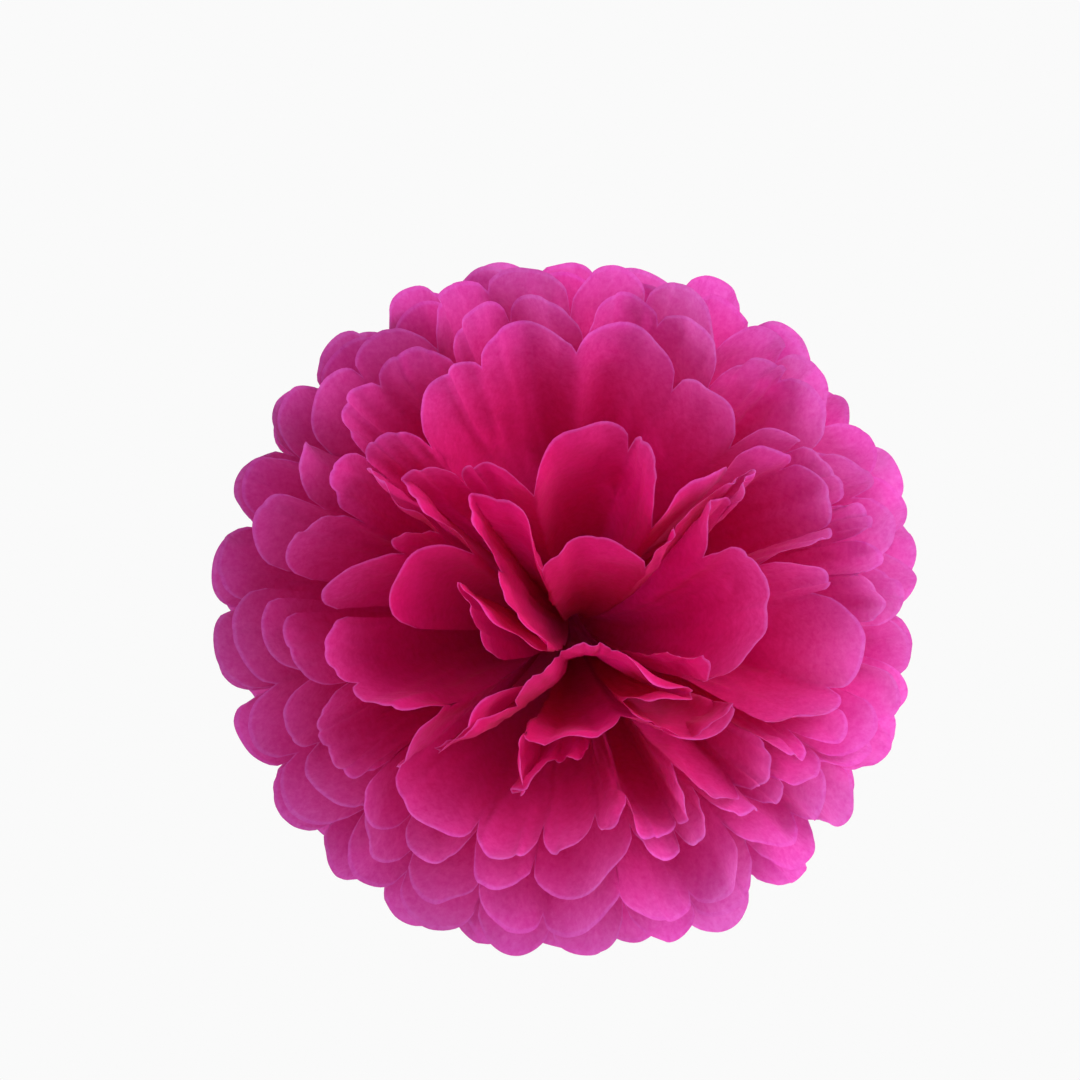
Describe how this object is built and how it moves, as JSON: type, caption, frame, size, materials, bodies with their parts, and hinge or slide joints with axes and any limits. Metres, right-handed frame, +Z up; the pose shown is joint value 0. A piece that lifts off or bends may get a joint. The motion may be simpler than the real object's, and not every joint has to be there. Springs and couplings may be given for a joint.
{
  "type": "tissue paper pom-pom",
  "caption": "Ball-shaped pom-pom of pleated tissue paper sheets, tied round the middle with twisted wire, each end cut into rounded scallops and peeled open.",
  "frame": {"origin": "centre of the ball, in the middle of the wire tie", "axes": "-Y out of the middle of the front rosette, +Z up along the gathered stack, +X to the right of a viewer facing the front rosette"},
  "size_m": [0.249, 0.2494, 0.2452],
  "materials": {
    "tissue_paper": "matte translucent tissue paper",
    "wire": "thin soft florist's wire"
  },
  "bodies": {
    "root": {"sheet_01": "tissue_paper", "sheet_02": "tissue_paper", "sheet_03": "tissue_paper", "sheet_04": "tissue_paper", "sheet_05": "tissue_paper", "sheet_06": "tissue_paper", "sheet_07": "tissue_paper", "sheet_08": "tissue_paper", "sheet_09": "tissue_paper", "sheet_10": "tissue_paper", "sheet_11": "tissue_paper", "sheet_12": "tissue_paper", "tie_wire": "wire"}
  },
  "joints": []
}
